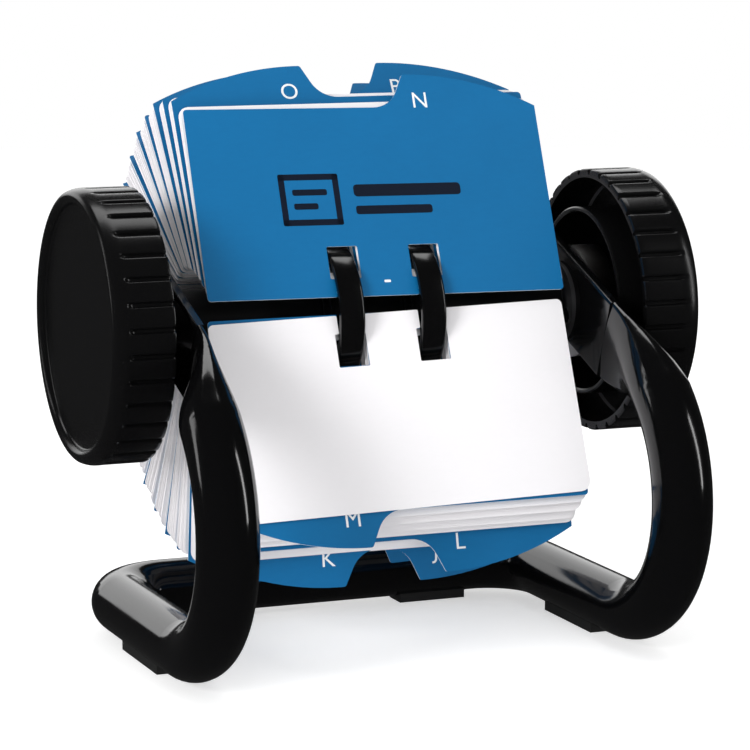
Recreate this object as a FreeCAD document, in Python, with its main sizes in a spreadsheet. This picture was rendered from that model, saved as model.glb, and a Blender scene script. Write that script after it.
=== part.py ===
import FreeCAD, Part
import math
import os

from FreeCAD import Placement, Rotation, Vector
from Sketcher import Constraint

# Open rotary card file on a bent tube stand, for cards of 101.6 by 53 mm.
#
# Millimetres. +X runs along the axle to the right, +Y to the back, +Z up. The origin is on the
# table, straight below the middle of the axle. The stand is fixed. The knobs, the spindle, the
# core, the two card rings, the cards and the index guides turn on the axle as one rotor, and the
# front index guide also slides round the rings by itself, as a page is turned.

SHEET_SIZES = [
    # whole object
    ("overall_width", 165.1, "outside to outside of the knobs"),
    ("axle_height", 90.0, "table to axle"),
    # cards and guides
    ("card_width", 101.6, "length of a card along the axle"),
    ("card_height", 53.0, "slotted edge to free edge of a card"),
    ("guide_body", 53.0, "slotted edge to shoulder of an index guide"),
    ("guide_thick", 0.3, "index guide board"),
    ("tab_height", 9.4, "index tab above the guide's shoulder"),
    ("tab_start", 12.8, "middle of the guide to the tab's inner corner"),
    ("tab_radius", 80.0, "crown of the tab"),
    ("tab_fillet", 8.0, "hollow at the foot of the tab"),
    ("tab_slant", 26.0, "the tab's inner side, from upright"),
    ("front_skew", 0.9, "how far the front guide sits askew in its slots"),
    ("sheet_gap", 0.05, "air between a guide and its neighbours"),
    # slots that clip on the rings
    ("slot_spacing", 23.3, "centre to centre of the two slots"),
    ("slot_mouth", 6.3, "width of a slot at the card's edge"),
    ("slot_width", 8.7, "width of a slot inside its shoulders"),
    ("slot_shoulder", 5.0, "card's edge to the slot's shoulders"),
    ("slot_depth", 14.0, "card's edge to the slot's end"),
    ("clip_depth", 6.5, "card's edge to the middle of the ring's head, mid fan"),
    ("clip_depth_end", 8.7, "the same at both ends of the fan"),
    # fan of cards, angles from the front of the axle, upwards and over the top
    ("fan_start", 48.7, "first sheet's place on the rings"),
    ("fan_end", 343.5, "last sheet's place on the rings"),
    ("lean_start", 114.4, "first sheet's direction"),
    ("lean_end", 290.4, "last sheet's direction"),
    ("fan_bunch", 1.3, "how much wider the sheets spread in mid fan than evenly"),
    ("fan_tilt", 30.7, "half of the change of tilt along the middle of the fan"),
    ("last_pack", 0.15, "room before the last guide, as a share of a pack's"),
    # card rings and core
    ("ring_radius", 20.0, "outside of a ring's head"),
    ("ring_head", 1.9, "radial thickness of a ring's head"),
    ("ring_width", 7.0, "width of a ring's head"),
    ("ring_web", 4.0, "thickness of a ring's web"),
    ("ring_hub", 9.5, "outside of a ring's hub"),
    ("ring_hub_width", 9.0, "width of a ring's hub"),
    ("core_radius", 8.5, "outside of the core tube"),
    ("core_bore", 6.8, "inside of the core tube"),
    ("core_length", 104.4, "core tube, end to end"),
    ("plug_depth", 10.0, "core plug inside the core tube"),
    ("plug_flange", 2.0, "core plug outside the core tube"),
    ("pin_radius", 1.0, "cross pin through plug and spindle"),
    # spindle and bearings
    ("spindle_radius", 4.0, "steel spindle"),
    ("running_gap", 0.05, "radial clearance of the spindle in a bushing"),
    ("bushing_radius", 5.5, "bushing's barrel, and the hole in the stand"),
    ("bushing_flange", 11.2, "bushing's flange radius"),
    ("flange_thick", 1.2, "bushing's flange thickness"),
    ("washer_radius", 5.9, "thrust washer"),
    # knobs
    ("knob_radius", 36.35, "outside of a knob's ribs"),
    ("knob_width", 16.55, "knob along the axle"),
    ("knob_wall", 2.5, "rim wall of a knob"),
    ("knob_face", 2.4, "face wall of a knob"),
    ("knob_dish", 1.9, "depth of the dish in a knob's face"),
    ("knob_crest", 34.0, "radius of the highest ring of a knob's face"),
    ("knob_shoulder", 4.2, "length of the rounded shoulder"),
    ("knob_roll", 21.0, "turn at which the shoulder meets the crest"),
    ("knob_rib_radius", 26.0, "ring rib inside a knob"),
    ("knob_rib_wall", 1.4, "thickness of the ring rib"),
    ("knob_rib_reach", 3.1, "ring rib beyond the knob's rim"),
    ("knob_boss", 7.5, "boss that takes the spindle"),
    ("knob_boss_depth", 3.0, "knob's inner edge to its boss"),
    ("groove_width", 1.3, "groove between two grip ribs"),
    ("groove_depth", 0.9, "depth of a groove"),
    ("groove_count", 34, "grooves round a knob"),
    # ball clutch in the right knob
    ("cup_radius", 14.0, "inside of the clutch cup"),
    ("cup_wall", 1.5, "clutch cup wall"),
    ("cup_floor", 1.2, "clutch cup floor"),
    ("cup_depth", 7.6, "clutch cup along the axle"),
    ("ball_radius", 2.0, "clutch ball"),
    ("ball_count", 4, "clutch balls"),
    ("hub_radius", 12.8, "clutch hub"),
    ("hub_width", 5.2, "clutch hub along the axle"),
    ("spring_wire", 0.4, "clutch spring wire"),
    ("rivet_radius", 1.5, "rivet that holds the clutch cup"),
    ("rivet_offset", 8.4, "axle to rivet"),
    # tube stand
    ("tube_dia", 16.0, "stand tube"),
    ("tube_wall", 1.6, "wall of the stand tube"),
    ("tube_offset", 62.8, "middle of the object to the side of the stand"),
    ("front_reach", 64.8, "axle to the foremost point of the tube's centre line"),
    ("front_level", 43.0, "table to the foremost point"),
    ("crossbar_back", 38.5, "axle to the crossbar behind it"),
    ("rear_bend", 16.0, "bend between side rail and crossbar"),
    ("paddle_offset", 58.6, "middle of the object to the flattened ends"),
    ("paddle_slope", 20.5, "fall of the flattened ends towards the front"),
    ("paddle_width", 22.8, "flattened end"),
    ("paddle_thick", 3.0, "two walls of the flattened tube"),
    ("paddle_rise", 3.4, "axle to the middle line of the flattened end"),
    ("paddle_flat", 29.0, "axle to where the flattened end starts to swell"),
    ("paddle_tail", 20.0, "flattened end behind the axle"),
    ("paddle_corner", 6.0, "corner of the flattened end"),
    ("swell_length", 28.0, "flattened end to round tube"),
    # rubber feet
    ("foot_height", 1.5, "table to the underside of the tube"),
    ("foot_width", 8.0, "width of a rubber foot"),
    ("foot_length", 30.0, "length of a rubber foot"),
    ("foot_centre", -4.0, "middle of the side feet, back from the axle"),
    ("rear_foot_spread", 34.0, "middle of the object to a rear foot"),
]

GUIDE_LETTERS = "n o p q r s t u v w xyz a b c d e f g h i j k l m".split()
PACKS_PER_NODE = 3
HEAD_ROOM = 0.5
SPINDLE_IN_KNOB = 0.7
BORE_BOTTOM_GAP = 0.2
SPINDLE_CHAMFER = 0.5
PIN_INSET = 5.0
PIN_SHORT = 0.2
RING_EDGE = 0.9
GROOVE_FOOT = 0.6
GROOVE_LIP = 1.2
GROOVE_RUN_OUT = 0.6
CUP_HOLE_GAP = 0.4
RIVET_HEAD_HEIGHT = 0.4
RIVET_HEAD_SHARE = 1.4
HUB_GAP = 0.9
POCKET_FLOOR_ABOVE_SHAFT = 2.4
POCKET_GAP = 0.1
COIL_SIDE_GAP = 0.15
COIL_END_GAP = 0.06
COIL_TURNS = 4
COIL_POINTS_PER_TURN = 24
SLOT_CUTTER_REACH = 30.0
SLOT_CUTTER_BELOW = 5.0

doc = FreeCAD.newDocument("rotary_card_file")
sheet = doc.addObject("Spreadsheet::Sheet", "dims")
for row, (alias, value, note) in enumerate(SHEET_SIZES, start=1):
    sheet.set(f"A{row}", note)
    sheet.set(f"B{row}", str(value))
    sheet.setAlias(f"B{row}", alias)
doc.recompute()

node_objects = []


class Size:
    """A length or an angle, kept as its value and as the spreadsheet formula behind it."""

    def __init__(self, value, text):
        self.value = value
        self.text = text

    def __add__(self, other):
        other = as_size(other)
        return Size(self.value + other.value, f"({self.text} + {other.text})")

    def __sub__(self, other):
        other = as_size(other)
        return Size(self.value - other.value, f"({self.text} - {other.text})")

    def __mul__(self, other):
        other = as_size(other)
        return Size(self.value * other.value, f"({self.text} * {other.text})")

    def __truediv__(self, other):
        other = as_size(other)
        return Size(self.value / other.value, f"({self.text} / {other.text})")

    def __neg__(self):
        return self * -1


def as_size(number):
    return number if isinstance(number, Size) else Size(number, f"({number})")


def size(alias):
    """A driving dimension as a Size."""
    return Size(float(sheet.get(alias)), f"dims.{alias}")


def sine(angle):
    return Size(math.sin(math.radians(angle.value)), f"sin({angle.text})")


def cosine(angle):
    return Size(math.cos(math.radians(angle.value)), f"cos({angle.text})")


def mm(alias):
    """A driving dimension as a plain number."""
    return float(sheet.get(alias))


# --- document helpers ---------------------------------------------------------------------


def new_body(name):
    body = doc.addObject("PartDesign::Body", name)
    body.Label = name
    return body


def origin_feature(body, role):
    return next(item for item in body.Origin.OriginFeatures if item.Role == role)


def keep(item, name):
    """Mark an object as the sub-part that is written under this name."""
    item.Label = name
    node_objects.append((name, item))
    return item


def on_axle(item):
    item.setExpression("Placement.Base.z", "dims.axle_height")


def tie(sketch, kind, number, *places):
    """A constraint whose value follows the sheet."""
    item = sketch.addConstraint(Constraint(kind, *places, number.value))
    sketch.setExpression(f"Constraints[{item}]", number.text)


def arc_centre(start, end, radius, left):
    """Centre of an arc of a given radius, on the left or right of the way from start to end."""
    chord = end - start
    half = chord.Length / 2
    height = math.sqrt(max(radius * radius - half * half, 0.0))
    normal = Vector(-chord.y, chord.x, 0).normalize()
    return (start + end) / 2 + normal * (height if left else -height)


def add_outline(body, name, role, corners, arcs=None):
    """A closed sketch through the corners, with arcs {corner number: (radius, centre on left)}.

    The number is that of the corner where the arc starts. Every corner is tied to the sheet.
    """
    arcs = arcs or {}
    sketch = body.newObject("Sketcher::SketchObject", name)
    sketch.AttachmentSupport = (origin_feature(body, role), [""])
    sketch.MapMode = "FlatFace"
    places = [Vector(as_size(x).value, as_size(y).value, 0) for x, y in corners]
    count = len(corners)
    first_point = {}
    last_point = {}
    for index in range(count):
        start = places[index]
        end = places[(index + 1) % count]
        if index not in arcs:
            sketch.addGeometry(Part.LineSegment(start, end), False)
            first_point[index] = 1
            last_point[index] = 2
            continue
        radius, left = arcs[index]
        centre = arc_centre(start, end, as_size(radius).value, left)
        begin = math.atan2(start.y - centre.y, start.x - centre.x)
        finish = math.atan2(end.y - centre.y, end.x - centre.x)
        circle = Part.Circle(centre, Vector(0, 0, 1), as_size(radius).value)
        if left:
            sketch.addGeometry(Part.ArcOfCircle(circle, begin, finish), False)
            first_point[index] = 1
            last_point[index] = 2
        else:
            sketch.addGeometry(Part.ArcOfCircle(circle, finish, begin), False)
            first_point[index] = 2
            last_point[index] = 1
    for index in range(count):
        following = (index + 1) % count
        sketch.addConstraint(Constraint(
            "Coincident", index, last_point[index], following, first_point[following]))
    for index, (x, y) in enumerate(corners):
        tie(sketch, "DistanceX", as_size(x), -1, 1, index, first_point[index])
        tie(sketch, "DistanceY", as_size(y), -1, 1, index, first_point[index])
    for index, (radius, _) in arcs.items():
        tie(sketch, "Radius", as_size(radius), index)
    return sketch


def revolve(body, sketch, name="turned"):
    feature = body.newObject("PartDesign::Revolution", name)
    feature.Profile = sketch
    feature.ReferenceAxis = (origin_feature(body, "X_Axis"), [""])
    feature.Angle = 360.0
    return feature


def turned_part(name, corners, arcs=None):
    """A body turned about the axle from an outline of (place along X, radius) corners."""
    body = new_body(name)
    revolve(body, add_outline(body, f"{name}_profile", "XY_Plane", corners, arcs))
    on_axle(body)
    return keep(body, name)


def sleeve(name, start, end, inner, outer):
    return turned_part(name, [(start, inner), (end, inner), (end, outer), (start, outer)])


def solid_node(name, shape):
    """A sub-part whose shape is worked out in code from the sheet."""
    item = doc.addObject("Part::Feature", name)
    item.Shape = shape
    return keep(item, name)


# Places along the axle, from the middle outwards.
half_width = size("overall_width") / 2
knob_inner = half_width - size("knob_width")
paddle_outer = size("paddle_offset") + size("paddle_thick") / 2
paddle_inner = size("paddle_offset") - size("paddle_thick") / 2
core_end = size("core_length") / 2
plug_end = core_end + size("plug_flange")
bushing_start = paddle_inner - size("flange_thick")
knob_boss_start = knob_inner + size("knob_boss_depth")
knob_floor = half_width - size("knob_dish")
knob_inside = knob_floor - size("knob_face")
spindle_end = knob_inside + SPINDLE_IN_KNOB
AXIAL_PLAY = 0.25

# --- stand ----------------------------------------------------------------------------------


def side_point(along, height, side, offset=None):
    """A point of the stand's side: along back from the axle, at a height above the table."""
    return Vector(side * (offset or mm("tube_offset")), along, height)


def paddle_point(reach, rise, side):
    """A point of a flattened end: reach forward of the axle along it, rise square to it."""
    slope = math.radians(mm("paddle_slope"))
    along = -reach * math.cos(slope) - rise * math.sin(slope)
    height = mm("axle_height") - reach * math.sin(slope) + rise * math.cos(slope)
    return side_point(along, height, side, mm("paddle_offset"))


def upper_bend():
    """Centre and radius of the bend that joins a flattened end to the front of the tube."""
    slope = math.radians(mm("paddle_slope"))
    drop = mm("axle_height") - mm("front_level")
    reach = mm("front_reach")
    radius = mm("paddle_rise") + drop * math.cos(slope) - reach * math.sin(slope)
    radius = radius / (1 - math.sin(slope))
    return -reach + radius, mm("front_level"), radius


def bend_point(swing, side, offset=None):
    """A point of the upper bend, swing above its foremost point."""
    along, height, radius = upper_bend()
    return side_point(along - radius * math.cos(swing), height + radius * math.sin(swing),
                      side, offset)


def oval_wire(centre, across, normal, width, thick, corner_turn):
    """A flattened circle of four tangent arcs; across is the direction of its width."""
    half_w = width / 2
    half_t = thick / 2
    spread = math.sin(corner_turn) - 1 + math.cos(corner_turn)
    extra = (half_w - half_t) / spread
    end_radius = half_w - extra * math.sin(corner_turn)
    side_radius = end_radius + extra
    joint_x = side_radius * math.sin(corner_turn)
    joint_y = half_t - side_radius * (1 - math.cos(corner_turn))
    up = normal.cross(across)

    def place(x, y):
        return centre + across * x + up * y

    corners = [place(joint_x, joint_y), place(-joint_x, joint_y),
               place(-joint_x, -joint_y), place(joint_x, -joint_y)]
    middles = [place(0, half_t), place(-half_w, 0), place(0, -half_t), place(half_w, 0)]
    edges = []
    for index in range(4):
        following = corners[(index + 1) % 4]
        edges.append(Part.Arc(corners[index], middles[index], following).toShape())
    return Part.Wire(edges)


SWELL_STEPS = 7
ROUND_TURN = math.radians(45)
FLAT_TURN = math.radians(6)


def swell_lead():
    """Straight run of the swelling tube before the upper bend."""
    slope = math.radians(mm("paddle_slope"))
    radius = upper_bend()[2]
    straight = (mm("front_reach") - radius) * math.cos(slope)
    straight += (mm("axle_height") - mm("front_level")) * math.sin(slope)
    return straight - mm("paddle_flat")


def round_start():
    """Swing above the foremost point at which the tube has become round."""
    turned = (mm("swell_length") - swell_lead()) / upper_bend()[2]
    return math.pi / 2 - math.radians(mm("paddle_slope")) - turned


def swell(side):
    """The stretch of one side where the flattened end swells to the round tube."""
    slope = math.radians(mm("paddle_slope"))
    lead = swell_lead()
    wires = []
    for step in range(SWELL_STEPS + 1):
        travel = mm("swell_length") * step / SWELL_STEPS
        share = 0.5 - 0.5 * math.cos(math.pi * step / SWELL_STEPS)
        offset = mm("paddle_offset") + (mm("tube_offset") - mm("paddle_offset")) * share
        if travel < lead:
            heading = slope
            centre = paddle_point(mm("paddle_flat") + travel, mm("paddle_rise"), side)
        else:
            heading = slope + (travel - lead) / upper_bend()[2]
            centre = bend_point(math.pi / 2 - heading, side)
        centre.x = side * offset
        tangent = Vector(0, -math.cos(heading), -math.sin(heading))
        across = Vector(0, -math.sin(heading), math.cos(heading))
        width = mm("paddle_width") + (mm("tube_dia") - mm("paddle_width")) * share
        thick = mm("paddle_thick") + (mm("tube_dia") - mm("paddle_thick")) * share
        corner = FLAT_TURN + (ROUND_TURN - FLAT_TURN) * share
        wires.append(oval_wire(centre, across, tangent, width, thick, corner))
    return Part.makeLoft(wires, True, False)


def paddle(side):
    """The flat plate round the axle, with its tail behind the axle, before its holes."""
    thick = mm("paddle_thick")
    half = mm("paddle_width") / 2
    length = mm("paddle_flat") + mm("paddle_tail")
    plate = Part.makeBox(thick, length, 2 * half,
                         Vector(-thick / 2, -mm("paddle_flat"), mm("paddle_rise") - half))
    tail = [edge for edge in plate.Edges
            if abs(edge.BoundBox.YMin - mm("paddle_tail")) < 1e-6
            and abs(edge.BoundBox.XLength - thick) < 1e-6]
    plate = plate.makeFillet(mm("paddle_corner"), tail)
    long_edges = [edge for edge in plate.Edges
                  if edge.BoundBox.XLength < 1e-6 and edge.BoundBox.YMin > -mm("paddle_flat") + 1e-6
                  or edge.BoundBox.XLength < 1e-6 and edge.BoundBox.YLength > half]
    plate = plate.makeFillet(thick * 0.3, long_edges)
    plate.rotate(Vector(0, 0, 0), Vector(1, 0, 0), mm("paddle_slope"))
    plate.translate(Vector(side * mm("paddle_offset"), 0, mm("axle_height")))
    return plate


def tube_path():
    """Centre line of the round tube, from one side's swell round the base to the other's."""
    centre_z = mm("foot_height") + mm("tube_dia") / 2
    low_radius = mm("front_level") - centre_z
    low_y = -mm("front_reach") + low_radius
    back = mm("crossbar_back")
    corner = mm("rear_bend")
    offset = mm("tube_offset")
    diagonal = math.sqrt(0.5)
    start = round_start()

    def side_edges(side):
        front = bend_point(0, side)
        low = side_point(low_y - low_radius * diagonal,
                         mm("front_level") - low_radius * diagonal, side)
        rail_start = side_point(low_y, centre_z, side)
        rail_end = side_point(back - corner, centre_z, side)
        bend_middle = Vector(side * (offset - corner * (1 - diagonal)),
                             back - corner * (1 - diagonal), centre_z)
        bar_end = Vector(side * (offset - corner), back, centre_z)
        return [
            Part.Arc(bend_point(start, side), bend_point(start / 2, side), front).toShape(),
            Part.Arc(front, low, rail_start).toShape(),
            Part.LineSegment(rail_start, rail_end).toShape(),
            Part.Arc(rail_end, bend_middle, bar_end).toShape(),
        ]

    bar = Part.LineSegment(Vector(-(offset - corner), back, centre_z),
                           Vector(offset - corner, back, centre_z)).toShape()
    return Part.Wire(Part.__sortEdges__(side_edges(-1) + [bar] + side_edges(1)))


def stand_tube():
    """The whole bent tube with the axle's holes and, on the right, two rivet holes."""
    start = round_start()
    heading = Vector(0, -math.sin(start), -math.cos(start))
    across = Vector(0, -math.cos(start), math.sin(start))
    profile = oval_wire(bend_point(start, -1), across, heading, mm("tube_dia"), mm("tube_dia"),
                        ROUND_TURN)
    tube = tube_path().makePipeShell([profile], True, True)
    inside = mm("tube_dia") - 2 * mm("tube_wall")
    bore = oval_wire(bend_point(start, -1), across, heading, inside, inside, ROUND_TURN)
    hollow = tube_path().makePipeShell([bore], True, True)
    shape = tube.fuse([swell(-1), swell(1), paddle(-1), paddle(1)]).cut(hollow)
    hole = Part.makeCylinder(mm("bushing_radius"), 3 * mm("tube_offset"),
                             Vector(-1.5 * mm("tube_offset"), 0, mm("axle_height")),
                             Vector(1, 0, 0))
    rivet_holes = [rivet_shank(direction, paddle_inner.value - 1, paddle_outer.value + 1)
                   for direction in (-1, 1)]
    return shape.cut([hole] + rivet_holes)


def rivet_shank(direction, start, end, radius=None):
    """A cylinder along X beside the axle, on the line of the right flattened end."""
    slope = math.radians(mm("paddle_slope"))
    along = direction * mm("rivet_offset")
    base = Vector(start, -along * math.cos(slope), mm("axle_height") - along * math.sin(slope))
    return Part.makeCylinder(radius or mm("rivet_radius"), end - start, base, Vector(1, 0, 0))


def drill_rivet_holes(body):
    """Two holes along the axle, on the slope of the flattened end."""
    slope = size("paddle_slope")
    for word, way in (("front", -1), ("back", 1)):
        along = size("rivet_offset") * cosine(slope) * way
        rise = size("rivet_offset") * sine(slope) * way
        sketch = body.newObject("Sketcher::SketchObject", f"rivet_{word}_outline")
        sketch.AttachmentSupport = (origin_feature(body, "YZ_Plane"), [""])
        sketch.MapMode = "FlatFace"
        circle = Part.Circle(Vector(along.value, rise.value, 0), Vector(0, 0, 1),
                             mm("rivet_radius"))
        sketch.addGeometry(circle, False)
        tie(sketch, "DistanceX", along, -1, 1, 0, 3)
        tie(sketch, "DistanceY", rise, -1, 1, 0, 3)
        tie(sketch, "Radius", size("rivet_radius"), 0)
        pocket = body.newObject("PartDesign::Pocket", f"rivet_{word}_hole")
        pocket.Profile = sketch
        pocket.Type = "Length"
        pocket.Reversed = True
        pocket.setExpression("Length", "dims.overall_width")


def build_stand():
    solid_node("stand_tube", stand_tube())
    for name, side in (("left_bushing", -1), ("right_bushing", 1)):
        bore = size("spindle_radius") + size("running_gap")
        bushing = turned_part(name, [
            (bushing_start * side, bore),
            (paddle_outer * side, bore),
            (paddle_outer * side, size("bushing_radius")),
            (paddle_inner * side, size("bushing_radius")),
            (paddle_inner * side, size("bushing_flange")),
            (bushing_start * side, size("bushing_flange")),
        ])
        if side > 0:
            drill_rivet_holes(bushing)


def build_feet():
    """Rubber pads under the side rails and the crossbar, hollowed to sit against the tube."""
    side = size("tube_offset")
    length = size("foot_length")
    spread = size("rear_foot_spread")
    across = size("foot_width")
    side_y = size("foot_centre") - length / 2
    bar_y = size("crossbar_back") - across / 2
    rail = (0, 1, 0)
    bar = (1, 0, 0)
    feet = [
        ("left_rail_foot", -side - across / 2, side_y, across, length, rail, -side),
        ("right_rail_foot", side - across / 2, side_y, across, length, rail, side),
        ("left_rear_foot", -spread - length / 3, bar_y, length * 2 / 3, across, bar, -spread),
        ("right_rear_foot", spread - length / 3, bar_y, length * 2 / 3, across, bar, spread),
    ]
    for name, x, y, long_x, long_y, direction, centre_x in feet:
        pad = doc.addObject("Part::Box", f"{name}_pad")
        pad.setExpression("Length", long_x.text)
        pad.setExpression("Width", long_y.text)
        pad.setExpression("Height", "dims.foot_height + dims.tube_dia / 8")
        pad.setExpression("Placement.Base.x", x.text)
        pad.setExpression("Placement.Base.y", y.text)
        tube = doc.addObject("Part::Cylinder", f"{name}_hollow")
        tube.setExpression("Radius", "dims.tube_dia / 2")
        tube.setExpression("Height", "dims.foot_length * 3")
        tube.Placement = Placement(Vector(0, 0, 0), Rotation(Vector(0, 0, 1), Vector(*direction)))
        tube.setExpression("Placement.Base.z", "dims.foot_height + dims.tube_dia / 2")
        if direction == rail:
            tube.setExpression("Placement.Base.x", centre_x.text)
            tube.setExpression("Placement.Base.y", "dims.foot_centre - dims.foot_length * 1.5")
        else:
            tube.setExpression("Placement.Base.x", f"{centre_x.text} - dims.foot_length * 1.5")
            tube.setExpression("Placement.Base.y", "dims.crossbar_back")
        foot = doc.addObject("Part::Cut", name)
        foot.Base = pad
        foot.Tool = tube
        keep(foot, name)


# --- spindle, core and card rings -----------------------------------------------------------


def build_spindle():
    body = new_body("spindle")
    radius = size("spindle_radius")
    revolve(body, add_outline(body, "spindle_profile", "XY_Plane", [
        (-spindle_end, 0), (spindle_end, 0), (spindle_end, radius - SPINDLE_CHAMFER),
        (spindle_end - SPINDLE_CHAMFER, radius), (-spindle_end + SPINDLE_CHAMFER, radius),
        (-spindle_end, radius - SPINDLE_CHAMFER),
    ]))
    on_axle(body)
    for side in (-1, 1):
        drill(body, f"pin_hole_{'left' if side < 0 else 'right'}", (core_end - 5) * side)
    keep(body, "spindle")


def drill(body, name, place):
    """A cross hole for a pin, along Z through the axle."""
    sketch = body.newObject("Sketcher::SketchObject", name)
    sketch.AttachmentSupport = (origin_feature(body, "XY_Plane"), [""])
    sketch.MapMode = "FlatFace"
    circle = Part.Circle(Vector(place.value, 0, 0), Vector(0, 0, 1), mm("pin_radius"))
    sketch.addGeometry(circle, False)
    tie(sketch, "DistanceX", place, -1, 1, 0, 3)
    tie(sketch, "DistanceY", as_size(0), -1, 1, 0, 3)
    tie(sketch, "Radius", size("pin_radius"), 0)
    pocket = body.newObject("PartDesign::Pocket", f"{name}_cut")
    pocket.Profile = sketch
    pocket.Type = "Length"
    pocket.Midplane = True
    pocket.setExpression("Length", "dims.core_radius * 3")


def build_core():
    sleeve("core_tube", -core_end, core_end, size("core_bore"), size("core_radius"))
    for name, side in (("left", -1), ("right", 1)):
        bore = size("spindle_radius")
        plug = turned_part(f"{name}_core_plug", [
            ((core_end - size("plug_depth")) * side, bore),
            (plug_end * side, bore),
            (plug_end * side, size("core_radius")),
            (core_end * side, size("core_radius")),
            (core_end * side, size("core_bore")),
            ((core_end - size("plug_depth")) * side, size("core_bore")),
        ])
        drill(plug, f"{name}_plug_hole", (core_end - 5) * side)
        sleeve(f"{name}_thrust_washer", (plug_end + AXIAL_PLAY) * side,
               (bushing_start - AXIAL_PLAY) * side,
               size("spindle_radius"), size("washer_radius"))
    pins = []
    for side in (-1, 1):
        base = Vector(side * (core_end.value - PIN_INSET), 0,
                      mm("axle_height") - mm("core_bore") + PIN_SHORT)
        pins.append(Part.makeCylinder(mm("pin_radius"), 2 * (mm("core_bore") - PIN_SHORT), base))
    solid_node("core_pins", Part.makeCompound(pins))


def build_rings():
    """The two T-section rings that the slots of the cards clip on."""
    for name, side in (("left_card_ring", -1), ("right_card_ring", 1)):
        middle = size("slot_spacing") / 2 * side
        head = size("ring_width") / 2
        web = size("ring_web") / 2
        hub = size("ring_hub_width") / 2
        lip = size("ring_radius") - size("ring_head")
        crown = size("ring_radius")
        edge = RING_EDGE
        turned_part(name, [
            (middle - hub, size("core_radius")), (middle + hub, size("core_radius")),
            (middle + hub, size("ring_hub")), (middle + web, size("ring_hub")),
            (middle + web, lip), (middle + head, lip),
            (middle + head, crown - edge), (middle + head - edge, crown),
            (middle - head + edge, crown), (middle - head, crown - edge),
            (middle - head, lip), (middle - web, lip),
            (middle - web, size("ring_hub")), (middle - hub, size("ring_hub")),
        ], {6: (edge, True), 8: (edge, True)})


# --- knobs and clutch -----------------------------------------------------------------------


def build_knob(name, side):
    """A hollow knob with a dished face, a round shoulder, a ring rib, a boss and grip grooves."""
    body = new_body(name)
    rim = size("knob_radius")
    wall = size("knob_wall")
    rib = size("knob_rib_radius")
    rib_inside = rib - size("knob_rib_wall")
    boss = size("knob_boss")
    shaft = size("spindle_radius")
    crest = size("knob_crest")
    roll = size("knob_dish")
    shoulder = size("knob_shoulder")
    meet_x = shoulder - roll + roll * sine(size("knob_roll"))
    meet_drop = rim - crest - roll * cosine(size("knob_roll"))
    bulge = meet_x * sine(size("knob_roll")) - meet_drop * cosine(size("knob_roll"))
    sweep = (meet_x * meet_x + meet_drop * meet_drop) / (bulge * 2)
    shoulder_start = half_width - shoulder
    corners = [
        (spindle_end + BORE_BOTTOM_GAP, 0), (spindle_end + BORE_BOTTOM_GAP, shaft),
        (knob_boss_start, shaft), (knob_boss_start, boss),
        (knob_inside, boss), (knob_inside, rib_inside),
        (knob_inner - size("knob_rib_reach"), rib_inside),
        (knob_inner - size("knob_rib_reach"), rib),
        (knob_inside, rib), (knob_inside, rim - wall),
        (knob_inner, rim - wall), (knob_inner, rim),
        (shoulder_start, rim), (shoulder_start + meet_x, rim - meet_drop),
        (half_width, crest), (knob_floor, crest - roll), (knob_floor, 0),
    ]
    corners = [(as_size(x) * side, y) for x, y in corners]
    arcs = {12: (sweep, side < 0), 13: (roll, side < 0), 14: (roll, side < 0)}
    revolve(body, add_outline(body, f"{name}_profile", "XY_Plane", corners, arcs))
    half = size("groove_width") / 2
    bottom = rim - size("groove_depth")
    top = rim + 1
    groove = add_outline(body, f"{name}_groove", "YZ_Plane", [
        (-half * GROOVE_FOOT, bottom), (half * GROOVE_FOOT, bottom),
        (half * GROOVE_LIP, top), (-half * GROOVE_LIP, top),
    ])
    pocket = body.newObject("PartDesign::Pocket", f"{name}_grooves")
    pocket.Profile = groove
    pocket.Type = "Length"
    pocket.Reversed = side > 0
    pocket.setExpression(
        "Length", f"dims.overall_width / 2 - dims.knob_shoulder - {GROOVE_RUN_OUT}")
    pattern = body.newObject("PartDesign::PolarPattern", f"{name}_ribs")
    pattern.Originals = [pocket]
    pattern.Axis = (origin_feature(body, "X_Axis"), [""])
    pattern.Angle = 360.0
    pattern.setExpression("Occurrences", "dims.groove_count")
    body.Tip = pattern
    on_axle(body)
    return keep(body, name)


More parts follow.
